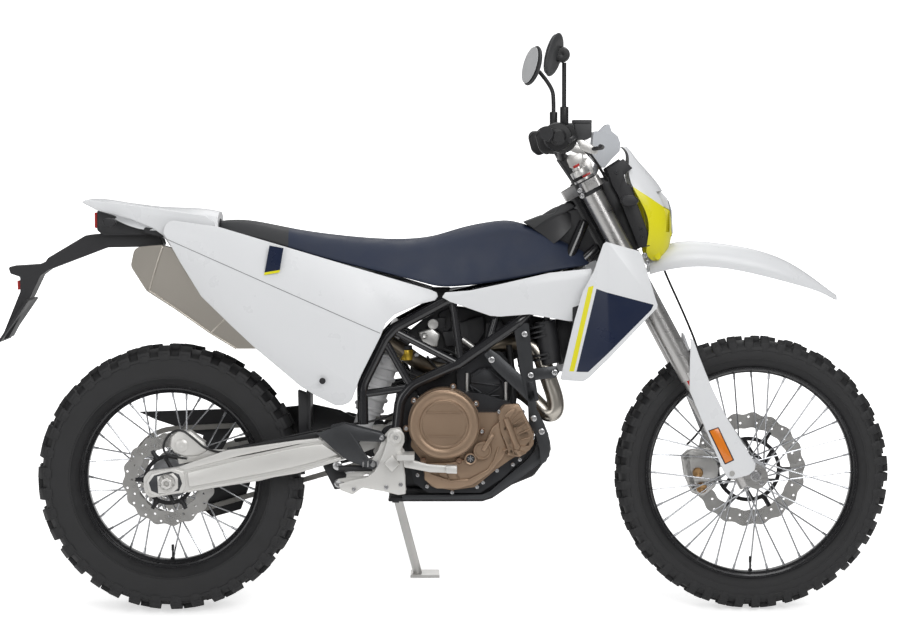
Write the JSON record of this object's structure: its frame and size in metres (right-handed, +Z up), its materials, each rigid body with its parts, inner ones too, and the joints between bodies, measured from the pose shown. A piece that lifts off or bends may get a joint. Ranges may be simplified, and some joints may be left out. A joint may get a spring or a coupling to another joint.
{
  "type": "dual sport motorcycle",
  "caption": "Dual sport motorcycle with spoked wheels, trellis frame, single cylinder engine, long seat and side stand; wheels roll, fork steers, stand folds.",
  "frame": {"origin": "on the floor at the middle of the leaning motorcycle's box", "axes": "+X forward, +Y to the rider's left, +Z up; the motorcycle leans 11 degrees to its left on its side stand"},
  "size_m": [2.2872, 0.8416, 1.4714],
  "materials": {
    "black_alloy": "satin black with bright spokes",
    "black_plastic": "grained",
    "caliper": "satin",
    "chain_steel": "oiled steel",
    "dark_plate": "satin dark grey",
    "disc_steel": "ground steel",
    "engine_bronze": "satin bronze paint on castings",
    "engine_dark": "dark casting",
    "fork_silver": "anodised",
    "frame_black": "gloss black powder coat",
    "lamp_clear": "clear lens and black pods",
    "lamp_red": "gloss lens and black pods",
    "seat_navy": "grip vinyl",
    "spring_white": "gloss",
    "swingarm_silver": "satin",
    "titanium": "brushed, heat tinted",
    "tyre": "matte moulded rubber",
    "white_plastic": "gloss"
  },
  "bodies": {
    "chassis": {"airbox_cover": "black_plastic", "clutch_cover": "engine_bronze", "crankcase": "engine_bronze", "cylinder_and_head": "engine_dark", "drive_chain": "chain_steel", "exhaust_header": "titanium", "foot_levers": "swingarm_silver", "footpegs": "swingarm_silver", "frame": "frame_black", "frame_plates": "dark_plate", "left_engine_cover": "engine_bronze", "mud_flap": "black_plastic", "plate_holder": "black_plastic", "radiator_shroud_left": "white_plastic", "radiator_shroud_right": "white_plastic", "radiators": "black_plastic", "rear_axle": "disc_steel", "rear_caliper": "caliper", "rear_fuel_tank": "black_plastic", "rear_lamps": "lamp_red", "right_engine_cover": "engine_bronze", "seat": "seat_navy", "shock_absorber": "spring_white", "side_panel_left": "white_plastic", "side_panel_right": "white_plastic", "silencer": "titanium", "skid_plate": "black_plastic", "swingarm": "swingarm_silver", "swingarm_guards": "black_plastic", "tail_section": "black_plastic", "tank_panels": "white_plastic"},
    "steering": {"triple_clamps": "swingarm_silver", "fork_legs": "fork_silver", "fork_guards": "white_plastic", "handlebar": "frame_black", "hand_controls": "black_plastic", "mirror_left": "black_plastic", "mirror_right": "black_plastic", "front_mudguard": "white_plastic", "headlight_surround": "white_plastic", "front_lamps": "lamp_clear", "instrument_panel": "black_plastic", "front_axle": "disc_steel", "front_caliper": "caliper"},
    "front_wheel": {"front_tyre": "tyre", "front_wheel_laced": "black_alloy", "front_brake_disc": "disc_steel"},
    "rear_wheel": {"rear_tyre": "tyre", "rear_wheel_laced": "black_alloy", "rear_brake_disc": "disc_steel", "rear_sprocket": "disc_steel"},
    "side_stand": {"side_stand": "swingarm_silver"}
  },
  "joints": [
    {"name": "steering_head", "type": "hinge", "parent": "chassis", "child": "steering", "pos_m": [0.42572, -0.06508, 0.88568], "axis": [-0.4741, 0.168, 0.8643], "range_deg": [-40, 40]},
    {"name": "front_wheel_spin", "type": "hinge", "parent": "steering", "child": "front_wheel", "pos_m": [0.79036, -0.16935, 0.34929], "axis": [0, 0.9816, -0.1908], "continuous": true},
    {"name": "rear_wheel_spin", "type": "hinge", "parent": "chassis", "child": "rear_wheel", "pos_m": [-0.70964, -0.17126, 0.33947], "axis": [0, 0.9816, -0.1908], "continuous": true},
    {"name": "side_stand_fold", "type": "hinge", "parent": "chassis", "child": "side_stand", "pos_m": [-0.13264, -0.05806, 0.26144], "axis": [0, 0.9563, 0.2924], "range_deg": [0, 102]}
  ]
}
